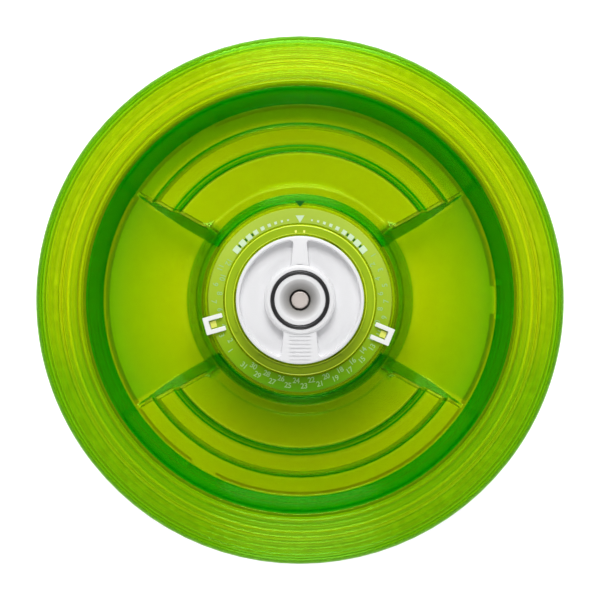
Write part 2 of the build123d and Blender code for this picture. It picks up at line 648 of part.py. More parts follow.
with BuildPart() as upper_bush:
    with BuildSketch(Plane.XY.offset(RIM_Z - TURRET_PLATE)):
        Circle(BUSH_R)
    extrude(amount=TURRET_PLATE)
    with BuildSketch(Plane.XY.offset(RIM_Z)):
        Circle(BUSH_R + 1.6)
    extrude(amount=0.8)
    with Locations((0, 0, RIM_Z + 0.8)):
        Hole(radius=NECK_R + FIT, depth=10.0)
save(upper_bush, "upper_bush")

# ---------------------------------------------------------------- gear train

planet_at_r = (SUN_TEETH + PLANET_TEETH) * MODULE / 2
planet_pitch_r = PLANET_TEETH * MODULE / 2
planet_shape = gear_outline(PLANET_TEETH, planet_pitch_r + ADDENDUM, planet_pitch_r - DEDENDUM, -BACKLASH / 2)
for index in range(PLANET_COUNT):
    turn = 360 / PLANET_COUNT * index
    centre = (planet_at_r * cos(radians(turn)), planet_at_r * sin(radians(turn)))
    with BuildPart() as planet_gear:
        with BuildSketch(Plane.XY.offset(GEAR_Z0)):
            with Locations(centre):
                add(planet_shape.rotate(Axis.Z, turn + 180 / PLANET_TEETH))
                Circle(PLANET_PIN_R + FIT, mode=Mode.SUBTRACT)
        extrude(amount=GEAR_H)
    save(planet_gear, f"planet_gear_{index + 1}")

sun_pitch_r = SUN_TEETH * MODULE / 2
with BuildPart() as sun_gear:
    with BuildSketch(Plane.XY.offset(GEAR_Z0)):
        add(gear_outline(SUN_TEETH, sun_pitch_r + ADDENDUM, sun_pitch_r - DEDENDUM, -BACKLASH / 2))
    extrude(amount=GEAR_H)
    with BuildSketch(Plane.XY.offset(GEAR_Z0 - 0.7)):
        Circle(6.0)
    extrude(amount=0.7)
    with Locations((0, 0, GEAR_Z0 + GEAR_H)):
        Hole(radius=SPINDLE_R, depth=GEAR_H + 1)
save(sun_gear, "sun_gear")

with BuildPart() as gear_plate:
    with BuildSketch(Plane.XY.offset(CARRIER_Z0)):
        Circle(30.0)
        with PolarLocations(CARRIER_SCREW_R, PLANET_COUNT, start_angle=60):
            Circle(5.5)
        with PolarLocations(CARRIER_SCREW_R - 6.0, PLANET_COUNT, start_angle=60):
            Rectangle(12.0, 11.0)
        Circle(LOWER_BUSH_R, mode=Mode.SUBTRACT)
        with PolarLocations(planet_at_r, PLANET_COUNT):
            Circle(PLANET_PIN_R, mode=Mode.SUBTRACT)
        with PolarLocations(CARRIER_SCREW_R, PLANET_COUNT, start_angle=60):
            Circle(SCREW_R + FIT, mode=Mode.SUBTRACT)
    extrude(amount=CARRIER_H)
    with BuildSketch(Plane.XY.offset(CARRIER_Z0 + CARRIER_H)):
        with PolarLocations(planet_at_r, PLANET_COUNT):
            Circle(3.6)
            Circle(PLANET_PIN_R, mode=Mode.SUBTRACT)
    extrude(amount=GEAR_Z0 - CARRIER_Z0 - CARRIER_H - 0.2)
save(gear_plate, "gear_plate")

with BuildPart() as planet_pins:
    with BuildSketch(Plane.XY.offset(CARRIER_Z0 - 0.8)):
        with PolarLocations(planet_at_r, PLANET_COUNT):
            Circle(3.0)
    extrude(amount=0.8)
    with BuildSketch(Plane.XY.offset(CARRIER_Z0)):
        with PolarLocations(planet_at_r, PLANET_COUNT):
            Circle(PLANET_PIN_R)
    extrude(amount=GEAR_Z0 + GEAR_H + 0.4 - CARRIER_Z0)
save(planet_pins, "planet_pins")

gear_plate_screws = screws(SCREW_R, 9.5, 3.0, 2.2, CARRIER_Z0, CARRIER_SCREW_R, 60)
save(gear_plate_screws, "gear_plate_screws")

with BuildPart() as lower_bush:
    with BuildSketch(Plane.XY.offset(CARRIER_Z0 - 3.0)):
        Circle(LOWER_BUSH_R)
    extrude(amount=CARRIER_H + 3.0)
    with BuildSketch(Plane.XY.offset(CARRIER_Z0 + CARRIER_H)):
        Circle(LOWER_BUSH_R + 1.2)
    extrude(amount=0.6)
    with Locations((0, 0, CARRIER_Z0 + CARRIER_H + 0.6)):
        Hole(radius=SPINDLE_R + FIT, depth=12.0)
save(lower_bush, "lower_bush")

clip_z = CARRIER_Z0 - 3.2 - CLIP_T
with BuildPart() as spindle:
    with BuildSketch(Plane.XZ):
        with BuildLine():
            FilletPolyline((0, SPINDLE_TOP_Z), (SPINDLE_R, SPINDLE_TOP_Z), (SPINDLE_R, clip_z + CLIP_T + 0.1),
                           (CLIP_R, clip_z + CLIP_T + 0.1), (CLIP_R, clip_z - 0.1),
                           (SPINDLE_R, clip_z - 0.1), (SPINDLE_R, SPINDLE_SHOULDER_Z),
                           (SPINDLE_TAIL_R, SPINDLE_SHOULDER_Z), (SPINDLE_TAIL_R, DRIVE_Z - DRIVE_HUB_DROP),
                           (THREAD_R, DRIVE_Z - DRIVE_HUB_DROP), (THREAD_R, SPINDLE_FOOT_Z), (0,
                                                                                              SPINDLE_FOOT_Z),
                           radius=(0.7, 0.05, 0.05, 0.05, 0.05, 0.3, 0.05, 0.05, 0.05, 0.5))
            Line((0, SPINDLE_FOOT_Z), (0, SPINDLE_TOP_Z))
        make_face()
    revolve(axis=Axis.Z)
    with BuildSketch(Plane.XY.offset(SPINDLE_FOOT_Z + 7.0)):
        with Locations((0, TAIL_FLAT + 3.0), (0, -TAIL_FLAT - 3.0)):
            Rectangle(12.0, 6.0)
    extrude(amount=SPINDLE_SHOULDER_Z - SPINDLE_FOOT_Z - 7.0, mode=Mode.SUBTRACT)
save(spindle, "spindle")

with BuildPart() as spindle_clip:
    with BuildSketch(Plane.XY.offset(clip_z)):
        Circle(7.0)
        Circle(CLIP_R + FIT, mode=Mode.SUBTRACT)
        with Locations((6.0, 0)):
            Rectangle(12.0, 4.6, mode=Mode.SUBTRACT)
    extrude(amount=CLIP_T)
save(spindle_clip, "spindle_clip")

# ---------------------------------------------------------------- drive plate

with BuildPart() as drive_plate:
    with BuildSketch(Plane.XY.offset(DRIVE_Z)):
        Circle(DRIVE_R)
        with PolarLocations(DRIVE_R - 5.0 + (DOG_TIP_R - DRIVE_R + 5.0) / 2, DOG_COUNT):
            Rectangle(DOG_TIP_R - DRIVE_R + 5.0, DOG_W)
    extrude(amount=DRIVE_T)
    with BuildSketch(Plane.XY.offset(DRIVE_Z - 5.0)):
        Circle(DRIVE_R - 2.0)
        Circle(DRIVE_R - 4.2, mode=Mode.SUBTRACT)
        with PolarLocations(DRIVE_R / 2 + 2, DRIVE_RIB_COUNT, start_angle=30):
            Rectangle(DRIVE_R - 12.0, 2.2)
        Circle(DRIVE_HUB_R)
    extrude(amount=5.0)
    with BuildSketch(Plane.XY.offset(DRIVE_Z - DRIVE_HUB_DROP)):
        Circle(DRIVE_HUB_R - 1.0)
    extrude(amount=SPINDLE_SHOULDER_Z - DRIVE_Z + DRIVE_HUB_DROP)
    with BuildSketch(Plane.XY.offset(DRIVE_Z - 8.0)):
        Circle(SPINDLE_TAIL_R)
        with Locations((0, TAIL_FLAT + 3.0), (0, -TAIL_FLAT - 3.0)):
            Rectangle(12.0, 6.0, mode=Mode.SUBTRACT)
    extrude(amount=SPINDLE_SHOULDER_Z - DRIVE_Z + 10.0, mode=Mode.SUBTRACT)
save(drive_plate, "drive_plate")

with BuildPart() as drive_washer:
    with BuildSketch(Plane.XY.offset(DRIVE_Z - DRIVE_HUB_DROP - DRIVE_WASHER_T)):
        Circle(DRIVE_WASHER_R)
        Circle(THREAD_R + 2 * FIT, mode=Mode.SUBTRACT)
    extrude(amount=DRIVE_WASHER_T)
save(drive_washer, "drive_washer")

with BuildPart() as drive_nut:
    with BuildSketch(Plane.XY.offset(DRIVE_Z - DRIVE_HUB_DROP - DRIVE_WASHER_T - NUT_H)):
        RegularPolygon(NUT_FLATS / 2, 6, major_radius=False)
        Circle(THREAD_R + FIT, mode=Mode.SUBTRACT)
    extrude(amount=NUT_H)
    chamfer(drive_nut.edges().filter_by(GeomType.LINE).group_by(Axis.Z)[0], length=0.4)
save(drive_nut, "drive_nut")
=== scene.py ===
import math

import bpy
import numpy as np
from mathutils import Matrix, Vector


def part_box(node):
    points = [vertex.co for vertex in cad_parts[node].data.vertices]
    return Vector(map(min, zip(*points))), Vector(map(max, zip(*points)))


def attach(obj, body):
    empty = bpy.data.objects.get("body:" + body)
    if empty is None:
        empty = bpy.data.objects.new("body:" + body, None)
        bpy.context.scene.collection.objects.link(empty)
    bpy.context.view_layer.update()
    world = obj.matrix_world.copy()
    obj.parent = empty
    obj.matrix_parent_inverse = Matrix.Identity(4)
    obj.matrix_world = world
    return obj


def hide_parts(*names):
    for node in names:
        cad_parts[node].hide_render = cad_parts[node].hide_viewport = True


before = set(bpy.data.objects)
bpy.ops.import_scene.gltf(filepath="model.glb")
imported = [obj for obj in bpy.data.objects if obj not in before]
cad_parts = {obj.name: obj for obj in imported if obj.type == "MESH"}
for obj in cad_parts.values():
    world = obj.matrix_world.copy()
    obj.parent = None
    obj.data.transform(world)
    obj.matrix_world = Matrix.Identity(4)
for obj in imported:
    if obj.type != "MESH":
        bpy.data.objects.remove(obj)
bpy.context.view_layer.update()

MM = 0.001

# ---------------------------------------------------------------- sizes, from the frame where it has them

lid_top_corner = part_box("lid_shell")[1]
knob_top_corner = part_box("knob")[1]
dial_top_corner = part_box("dial_ring")[1]
ridge_height = 0.55 * MM
lid_radius = lid_top_corner[0]
rim_z = lid_top_corner[2] - ridge_height
knob_radius = knob_top_corner[0]
dial_radius = dial_top_corner[0]
dial_z = dial_top_corner[2]
lid_wall = 2.4 * MM
skirt_depth = 13.0 * MM
edge_round = 4.0 * MM


# ---------------------------------------------------------------- small helpers

def mesh_object(name, verts, faces, body, material, smooth=True, depth=None):
    """A new mesh piece that rides on a body."""
    mesh = bpy.data.meshes.new(name)
    mesh.from_pydata([tuple(v) for v in verts], [], faces)
    mesh.update()
    if smooth:
        mesh.shade_smooth()
    piece = bpy.data.objects.new(name, mesh)
    bpy.context.scene.collection.objects.link(piece)
    mesh.materials.append(material)
    if depth is not None:
        mesh.attributes.new("depth", "FLOAT", "POINT").data.foreach_set("value", depth)
    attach(piece, body)
    return piece


def smooth_max(a, b, k):
    """Larger of two heights, blended over about k."""
    h = np.clip(0.5 + 0.5 * (a - b) / k, 0.0, 1.0)
    return b + (a - b) * h + k * h * (1.0 - h)


def smooth_min(a, b, k):
    return -smooth_max(-a, -b, k)


# ---------------------------------------------------------------- materials

def new_material(name):
    material = bpy.data.materials.new(name)
    material.use_nodes = True
    shader = material.node_tree.nodes["Principled BSDF"]
    return material, material.node_tree, shader


def add_node(tree, kind, **inputs):
    node = tree.nodes.new(kind)
    for key, value in inputs.items():
        node.inputs[key.replace("_", " ")].default_value = value
    return node


def object_coords(tree):
    return tree.nodes.new("ShaderNodeTexCoord").outputs["Object"]


def noise(tree, scale, detail=4.0, roughness=0.55):
    node = add_node(tree, "ShaderNodeTexNoise", Scale=scale, Detail=detail, Roughness=roughness)
    tree.links.new(object_coords(tree), node.inputs["Vector"])
    return node.outputs["Fac"]


def ramp(tree, source, *stops):
    """Colour ramp over a value; each stop is a position and a colour."""
    node = tree.nodes.new("ShaderNodeValToRGB")
    elements = node.color_ramp.elements
    while len(elements) < len(stops):
        elements.new(0.5)
    for element, (position, color) in zip(elements, stops):
        element.position = position
        element.color = (*color, 1.0)
    tree.links.new(source, node.inputs["Fac"])
    return node.outputs["Color"]


def value_range(tree, source, low, high):
    """Map 0..1 to low..high."""
    node = add_node(tree, "ShaderNodeMapRange")
    node.inputs["To Min"].default_value = low
    node.inputs["To Max"].default_value = high
    tree.links.new(source, node.inputs["Value"])
    return node.outputs["Result"]


def bump(tree, shader, source, strength, distance):
    node = add_node(tree, "ShaderNodeBump", Strength=strength, Distance=distance)
    tree.links.new(source, node.inputs["Height"])
    tree.links.new(node.outputs["Normal"], shader.inputs["Normal"])


def uneven_gloss(tree, shader, scale, low, high):
    """Roughness that drifts between two values over patches of the surface."""
    tree.links.new(value_range(tree, noise(tree, scale), low, high), shader.inputs["Roughness"])


def moulded(name, color, roughness):
    """Injection-moulded plastic: faint colour drift, fine texture, uneven gloss."""
    material, tree, shader = new_material(name)
    low = tuple(c * 0.97 for c in color)
    high = tuple(min(1.0, c * 1.015) for c in color)
    tree.links.new(ramp(tree, noise(tree, 28.0), (0.35, low), (0.65, high)), shader.inputs["Base Color"])
    uneven_gloss(tree, shader, 90.0, roughness * 0.8, roughness * 1.2)
    shader.inputs["IOR"].default_value = 1.5
    bump(tree, shader, noise(tree, 1400.0, detail=2.0), 0.25, 0.00004)
    return material


def steel(name, color, roughness, metallic=1.0):
    """Turned stainless steel: rings of the lathe tool about the axis."""
    material, tree, shader = new_material(name)
    shader.inputs["Metallic"].default_value = metallic
    rings = add_node(tree, "ShaderNodeTexWave", Scale=900.0, Distortion=0.6, Detail=2.0)
    rings.wave_type = "RINGS"
    rings.rings_direction = "Z"
    tree.links.new(object_coords(tree), rings.inputs["Vector"])
    low = tuple(c * 0.88 for c in color)
    tree.links.new(ramp(tree, rings.outputs["Fac"], (0.2, low), (0.8, color)), shader.inputs["Base Color"])
    uneven_gloss(tree, shader, 300.0, roughness * 0.7, roughness * 1.3)
    bump(tree, shader, rings.outputs["Fac"], 0.15, 0.00003)
    return material


def rubber(name, color, roughness=0.6):
    """Matt rubber with a little dust on it."""
    material, tree, shader = new_material(name)
    dust = noise(tree, 220.0, detail=6.0)
    light = tuple(min(1.0, c * 1.5 + 0.01) for c in color)
    tree.links.new(ramp(tree, dust, (0.4, color), (0.8, light)), shader.inputs["Base Color"])
    uneven_gloss(tree, shader, 500.0, roughness * 0.8, roughness * 1.2)
    bump(tree, shader, noise(tree, 1800.0), 0.3, 0.00005)
    return material


def translucent_green(name, glint, thin, thick, wall):
    """Lime plastic: light passes through, greener and darker where the wall is seen edge-on.

    The mesh's depth attribute picks the colour: glint, a painted highlight, at 0, thin on a flat, about thick
    on a line or a well's side, and wall on the steepest sides. The attribute also carries painted highlights
    and painted shade."""
    material, tree, shader = new_material(name)
    depth = tree.nodes.new("ShaderNodeAttribute")
    depth.attribute_name = "depth"
    drift = value_range(tree, noise(tree, 9.0, detail=2.0), -0.012, 0.012)
    total = tree.nodes.new("ShaderNodeMath")
    total.operation = "ADD"
    tree.links.new(depth.outputs["Fac"], total.inputs[0])
    tree.links.new(drift, total.inputs[1])
    half = tuple(a * 0.22 + b * 0.78 for a, b in zip(thin, wall))
    color = ramp(tree, total.outputs["Value"],
                 (0.0, glint), (0.2, thin), (0.50, half), (0.72, thick), (0.96, wall))
    tree.links.new(color, shader.inputs["Base Color"])
    shader.inputs["Transmission Weight"].default_value = 0.80
    shader.inputs["IOR"].default_value = 1.47
    shader.inputs["Specular IOR Level"].default_value = 0.05
    shader.inputs["Specular Tint"].default_value = (0.35, 0.95, 0.12, 1.0)
    uneven_gloss(tree, shader, 60.0, 0.08, 0.13)
    bump(tree, shader, noise(tree, 30.0, detail=2.0), 0.015, 0.0002)
    let_light_in(tree, shader, (0.80, 0.88, 0.30))
    return material


def let_light_in(tree, shader, tint):
    """Lamps shine through the wall, tinted, instead of stopping at it."""
    output = tree.nodes["Material Output"]
    path = tree.nodes.new("ShaderNodeLightPath")
    clear = tree.nodes.new("ShaderNodeBsdfTransparent")
    clear.inputs["Color"].default_value = (*tint, 1.0)
    mix = tree.nodes.new("ShaderNodeMixShader")
    tree.links.new(path.outputs["Is Shadow Ray"], mix.inputs["Fac"])
    tree.links.new(shader.outputs["BSDF"], mix.inputs[1])
    tree.links.new(clear.outputs["BSDF"], mix.inputs[2])
    tree.links.new(mix.outputs["Shader"], output.inputs["Surface"])


def knob_plastic_with_painted_shade(name):
    """Satin white moulding, greyed down the conical port by painted shade."""
    material, tree, shader = new_material(name)
    flat = tree.nodes.new("ShaderNodeVectorMath")
    flat.operation = "MULTIPLY"
    flat.inputs[1].default_value = (1.0, 1.0, 0.0)
    tree.links.new(object_coords(tree), flat.inputs[0])
    radius = tree.nodes.new("ShaderNodeVectorMath")
    radius.operation = "LENGTH"
    tree.links.new(flat.outputs["Vector"], radius.inputs[0])
    share = add_node(tree, "ShaderNodeMapRange", From_Max=knob_radius)
    tree.links.new(radius.outputs["Value"], share.inputs["Value"])
    # painted shade: grey down the conical port, darkest at its bottom
    color = ramp(tree, share.outputs["Result"], (0.165, (0.30, 0.295, 0.28)), (0.25, (0.46, 0.455, 0.45)),
                 (0.325, (0.78, 0.78, 0.785)), (0.60, (0.80, 0.80, 0.812)), (1.0, (0.81, 0.81, 0.822)))
    tree.links.new(color, shader.inputs["Base Color"])
    uneven_gloss(tree, shader, 90.0, 0.32, 0.46)
    shader.inputs["Specular IOR Level"].default_value = 0.35
    bump(tree, shader, noise(tree, 1400.0, detail=2.0), 0.2, 0.00003)
    return material


def dial_plastic(name):
    """Frosted lime ring: palest at the back, deeper green in front."""
    material, tree, shader = new_material(name)
    split = tree.nodes.new("ShaderNodeSeparateXYZ")
    tree.links.new(object_coords(tree), split.inputs["Vector"])
    backwards = add_node(tree, "ShaderNodeMapRange", From_Min=-dial_radius, From_Max=dial_radius)
    tree.links.new(split.outputs["Y"], backwards.inputs["Value"])
    color = ramp(tree, backwards.outputs["Result"], (0.02, (0.10, 0.33, 0.001)), (0.22, (0.23, 0.42, 0.002)),
                 (0.38, (0.33, 0.50, 0.02)), (0.60, (0.38, 0.54, 0.03)), (0.84, (0.44, 0.60, 0.06)))
    tree.links.new(color, shader.inputs["Base Color"])
    shader.inputs["Specular IOR Level"].default_value = 0.15
    uneven_gloss(tree, shader, 700.0, 0.40, 0.62)
    bump(tree, shader, noise(tree, 2500.0, detail=2.0), 0.3, 0.00008)
    return material


def edge_lit(name, flat, edge):
    """Lime plastic, paler on its rounded edges as if they caught the light."""
    material, tree, shader = new_material(name)
    geometry = tree.nodes.new("ShaderNodeNewGeometry")
    split = tree.nodes.new("ShaderNodeSeparateXYZ")
    tree.links.new(geometry.outputs["Normal"], split.inputs["Vector"])
    tree.links.new(ramp(tree, split.outputs["Z"], (0.25, flat), (0.55, edge), (0.97, edge), (0.995, flat)),
                   shader.inputs["Base Color"])
    uneven_gloss(tree, shader, 80.0, 0.16, 0.26)
    bump(tree, shader, noise(tree, 400.0, detail=2.0), 0.1, 0.00003)
    return material


def clear_plastic(name):
    """Clear moulding with the faintest blue-green drift."""
    material, tree, shader = new_material(name)
    tree.links.new(ramp(tree, noise(tree, 12.0), (0.3, (0.94, 0.97, 0.96)), (0.7, (0.98, 1.0, 0.99))),
                   shader.inputs["Base Color"])
    shader.inputs["Transmission Weight"].default_value = 1.0
    shader.inputs["IOR"].default_value = 1.49
    uneven_gloss(tree, shader, 50.0, 0.02, 0.06)
    let_light_in(tree, shader, (0.97, 0.99, 0.98))
    return material


lid_green = translucent_green("lid_green", glint=(0.84, 0.97, 0.10), thin=(0.53, 0.61, 0.001),
                              thick=(0.000005, 0.24, 0.0002), wall=(0.000005, 0.40, 0.0002))
knob_white = knob_plastic_with_painted_shade("knob_white")
pointer_white = moulded("pointer_white", (0.88, 0.90, 0.86), 0.35)
basket_white = moulded("basket_white", (0.84, 0.85, 0.84), 0.38)
drive_white = moulded("drive_white", (0.86, 0.87, 0.85), 0.45)
gear_natural = moulded("gear_natural", (0.80, 0.78, 0.70), 0.5)
bearing_grey = moulded("bearing_grey", (0.22, 0.23, 0.25), 0.45)
dial_frosted = dial_plastic("dial_frosted")
collar_green = edge_lit("collar_green", flat=(0.33, 0.49, 0.010), edge=(0.66, 0.82, 0.03))
dark_green = moulded("dark_green", (0.004, 0.13, 0.003), 0.3)
# yellow print for the collar's dots, and painted glints in the pointers' windows
yellow_print_and_painted_glint = moulded("yellow_print_and_painted_glint", (0.86, 0.90, 0.16), 0.4)
print_white = moulded("print_white", (0.66, 0.84, 0.56), 0.5)
figure_pale = moulded("figure_pale", (0.36, 0.60, 0.20), 0.5)
black_rubber = rubber("black_rubber", (0.008, 0.008, 0.009), 0.4)
foot_rubber = rubber("foot_rubber", (0.10, 0.11, 0.11))
seal_rubber = rubber("seal_rubber", (0.62, 0.68, 0.48), 0.45)
plain_steel = steel("plain_steel", (0.62, 0.62, 0.63), 0.28)
spindle_steel = steel("spindle_steel", (0.84, 0.76, 0.71), 0.45, metallic=0.35)
bowl_clear = clear_plastic("bowl_clear")

NODE_MATERIALS = {
    "bowl": bowl_clear, "bowl_foot_ring": foot_rubber, "bowl_pivot": plain_steel,
    "basket": basket_white, "basket_bush": bearing_grey,
    "lid_seal": seal_rubber, "dial_ring": dial_frosted, "collar": collar_green,
    "upper_bush": bearing_grey, "lower_bush": bearing_grey, "thrust_washer": bearing_grey,
    "gear_plate": gear_natural, "planet_pins": plain_steel, "gear_plate_screws": plain_steel,
    "knob": knob_white, "knob_o_ring": black_rubber, "knob_screws": plain_steel, "ring_gear": gear_natural,
    "planet_gear_1": gear_natural, "planet_gear_2": gear_natural, "planet_gear_3": gear_natural,
    "sun_gear": gear_natural, "spindle": spindle_steel, "spindle_clip": plain_steel,
    "drive_plate": drive_white, "drive_washer": plain_steel, "drive_nut": plain_steel,
    "month_pointer": pointer_white, "day_pointer": pointer_white,
}
for node_name, node_material in NODE_MATERIALS.items():
    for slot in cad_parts[node_name].material_slots:
        slot.material = node_material

# ---------------------------------------------------------------- lid shell

# Plan sizes and heights in millimetres; heights are measured from the rim's flat face.
RIDGE_COUNT = 7
RIDGE_FIRST = 109.5
RIDGE_PITCH = 2.85
RIDGE_ROUND = 1.2
RIM_R = 108.5            # from here outwards the lid is rim only
TURRET_R = 48.8          # turret's top edge
TURRET_FOOT_R = 52.0     # where its wall steepens
TURRET_FOOT = -8.4       # the wall's height there
TERRACE_HIGH = -12.0
TERRACE_MID = -16.0
TERRACE_LOW = -20.0
STEP_HIGH_R = 74.6       # top edges of the two steps
STEP_LOW_R = 87.6
STEP_ROUND = 0.35
PLINTH_R = 57.3          # edge of the low plinth round the turret
PLINTH_RISE = 1.3
DISH_FOOT_R = 98.8
SIDE_OFFSET = 1.5        # a well's straight side at its draft's base: |y| = SIDE_OFFSET + SIDE_SLOPE * |x|
SIDE_SLOPE = 0.57
SIDE_RUN = math.hypot(1.0, SIDE_SLOPE)
DRAFT_RISE = 1.0 / math.tan(math.radians(15.0))
WELL_BASE = -36.0
WELL_DEEP = -32.0        # a well's floor beside the turret
WELL_FLAT_R = 62.0       # the floor curves up from here, by WELL_RISE over WELL_RUN
WELL_RUN = 36.3
WELL_RISE = 12.8
WELL_CURVE = 2.2
TRACK_R = 46.7           # middle of the tracks that the pointers' keys run in
TRACK_HALF = 0.85
TRACK_DEPTH = 1.8
TRACKS = ((184.0, 42.0), (-49.5, 91.0))     # middle and half length of each track, in degrees from +X
BORE_R = 12.0            # turret's bore for the knob's neck
SKIRT_ROUND = 0.6
UNDER_GAP = 0.1          # how much thinner the skin is than the CAD's wall


def between(value, start, stop):
    """How far a value has come from start to stop, held to 0..1."""
    return np.clip((value - start) / (stop - start), 0.0, 1.0)


def sloped(distance, start_height, slope, inset):
    """Height of a straight slope, sunk by the wall's thickness measured square to it."""
    return start_height + slope * distance - inset * math.hypot(1.0, slope)


def beside_well(x, y):
    """Plan distance from the draft's base of the nearest well side, growing towards the terraces."""
    return (np.abs(y) - SIDE_OFFSET - SIDE_SLOPE * np.abs(x)) / SIDE_RUN


def plinth_edge(r, from_wall):
    """Plan distance outside the plinth's edge, which turns a wide corner before the well's side."""
    return smooth_min(r - PLINTH_R, from_wall - 1.8 + 0.30 * (r - PLINTH_R), 5.0)


def turret_height(r, inset):
    """Flat top, a drafted wall, and a steeper foot."""
    height = smooth_min(0.0 * r - inset, sloped(r - TURRET_R, 0.0, -2.625, inset), 0.9)
    return smooth_min(height, sloped(r - TURRET_FOOT_R, TURRET_FOOT, -4.5, inset), 0.8)


def terrace_height(r, from_wall, inset):
    """Two steps down outwards from a high terrace with a low plinth."""
    plinth = PLINTH_RISE * (1.0 - between(plinth_edge(r, from_wall), -PLINTH_RISE / 2, PLINTH_RISE / 2))
    plinth = plinth * (1.0 - between(r, 61.0, 70.0)) * between(from_wall, 0.0, 1.4)
    high = TERRACE_HIGH - inset + plinth
    middle = TERRACE_MID - inset + 0.0 * r
    height = smooth_min(high, sloped(r - STEP_HIGH_R, TERRACE_HIGH, -1.43, inset), STEP_ROUND)
    middle = smooth_min(middle, sloped(r - STEP_LOW_R, TERRACE_MID, -2.86, inset), STEP_ROUND)
    height = smooth_max(height, middle, STEP_ROUND)
    return smooth_max(height, TERRACE_LOW - inset + 0.0 * r, STEP_ROUND)


def well_floor(r, inset):
    """Floor of a finger well, curving up outwards."""
    reach = np.clip((r - WELL_FLAT_R) / WELL_RUN, 0.0, 1.3)
    slope = WELL_CURVE * WELL_RISE * reach ** (WELL_CURVE - 1.0) / WELL_RUN
    return WELL_DEEP + WELL_RISE * reach ** WELL_CURVE - inset * np.hypot(1.0, slope)


def rim_height(r, inset):
    """Flat rim, with round ridges on the top face only."""
    height = 0.0 * r - inset
    if inset == 0.0:
        nearest = np.clip(np.round((r - RIDGE_FIRST) / RIDGE_PITCH), 0, RIDGE_COUNT - 1)
        across = r - RIDGE_FIRST - RIDGE_PITCH * nearest
        rise = np.sqrt(np.clip(RIDGE_ROUND ** 2 - across ** 2, 0.0, None))
        height = height + np.clip(rise - RIDGE_ROUND + ridge_height / MM, 0.0, None)
    return height


def track_depth(x, y):
    """How deep the pointers' tracks cut into the turret's top."""
    off_middle = np.abs(np.hypot(x, y) - TRACK_R)
    angle = np.degrees(np.arctan2(y, x))
    along = 0.0
    for middle, half in TRACKS:
        away = np.abs((angle - middle + 180.0) % 360.0 - 180.0)
        along = np.maximum(along, 1.0 - between(away, half - 1.0, half))
    return TRACK_DEPTH * along * (1.0 - between(off_middle, TRACK_HALF - 0.05, TRACK_HALF + 0.05))


def lid_height(x, y, inset=0.0):
    """Height of the lid's top surface; an inset gives the underside, that much inside the wall."""
    r = np.hypot(x, y)
    well_wall = sloped(beside_well(x, y), WELL_BASE, DRAFT_RISE, inset)
    from_wall = (well_wall - TERRACE_HIGH) / DRAFT_RISE
    well = smooth_max(well_floor(r, inset), well_wall, 1.0)
    body = smooth_min(terrace_height(r, from_wall, inset), well, 0.7)
    body = smooth_max(body, turret_height(r, inset), 2.2)
    body = smooth_max(body, sloped(r - DISH_FOOT_R, TERRACE_LOW, 20.0 / 7.0, inset), 2.6)
    rim = rim_height(r, inset)
    body = np.where(r < 103.0, body, smooth_min(body, rim, 1.2))
    body = np.where(r > RIM_R, rim, body)
    return body - track_depth(x, y) if inset == 0.0 else body


# ---------------------------------------------------------------- the lid's depth attribute, with painted light and shade

# The green deepens where light runs along the wall, so the attribute is drawn feature by feature; it also
# carries painted highlights and painted shade.
FLAT = 0.2               # on a flat
LINE = 0.6               # most that a thin dark line adds
SIDE = 0.76              # on a well's straight side
SKIRT = 0.46             # round the skirt


def line_at(value, centre, width):
    """1 on a thin line and 0 away from it."""
    return np.exp(-((value - centre) / width) ** 2)


def steep_depth(x, y, r, inset):
    """Depth by slope: FLAT below about 35 degrees, 1 above 65, but SIDE at most inside the dish's wall.

    The steps and the turret are drawn by other functions, so they count as flat here."""
    step = 0.12
    slope = np.hypot(lid_height(x + step, y, inset) - lid_height(x - step, y, inset),
                     lid_height(x, y + step, inset) - lid_height(x, y - step, inset)) / (2 * step)
    depth = FLAT + (1.0 - FLAT) * between(slope, 0.7, 2.2)
    on_steps = (r > 72.0) & (r < 92.0) & (slope < 2.95)
    depth = np.where((r < 52.9) | (r > 107.0) | on_steps, FLAT, depth)
    return np.where(r < 97.0, np.minimum(depth, SIDE), depth)


def terrace_depth_with_painted_light(r, side, back, steep):
    """Depth over the terraces: turret's wall, two steps, painted highlights on the edges of plinth and well
    side, and painted shade.
    """
    step_drop = (TERRACE_HIGH - TERRACE_MID) * (r > 75.8) + (TERRACE_MID - TERRACE_LOW) * (r > 88.2)
    from_wall = side - (TERRACE_HIGH - WELL_BASE - step_drop) / DRAFT_RISE
    hub = np.interp(r + 0.7 * (1.0 - back), (47.9, 48.4, 52.2, 52.9, 53.4), (FLAT, 1.0, 1.0, 0.3, FLAT))
    # painted shade: the turret's wall darker green in front, with the light from the back
    hub = np.minimum(hub, 0.72 + 0.28 * back)
    # painted shadows: the turret's in front of it, the dish wall's at the back
    shade = (0.09 * (1.0 - between(r, 60.0, 74.0)) * (r > 53.0) * (1.0 - back)
             + 0.17 * between(r, 89.5, 92.5) * back)
    high_step = (0.65 + 0.20 * back) * (line_at(r, 74.6, 0.5) + line_at(r, 77.5, 0.5))
    dark = high_step + 0.22 * line_at(r, 76.0, 1.2) + 0.95 * line_at(r, 88.5, 0.8)
    # painted highlights beside the steps' dark lines
    painted_step_highlight = 0.10 * line_at(r, 73.4, 0.4) + 0.10 * line_at(r, 79.0, 0.5) + 0.12 * line_at(r, 89.9, 0.5)
    steps = np.minimum(dark - painted_step_highlight, LINE)
    # painted highlight along the plinth's edge, stronger at the back
    edge = line_at(plinth_edge(r, from_wall), -0.2, 0.55) * (1.0 - between(r, 60.0, 68.0))
    edge = edge * (0.35 + 0.65 * back)
    # painted highlight along the top of each well side
    painted_side_highlight = line_at(from_wall, 0.5, 0.4) * between(r, 60.0, 66.0) * (1.0 - between(r, 87.0, 93.0))
    on_terrace = between(from_wall, 0.0, 0.8)
    return np.maximum(hub, steep + shade) + on_terrace * (steps - 0.25 * edge) - 0.10 * painted_side_highlight


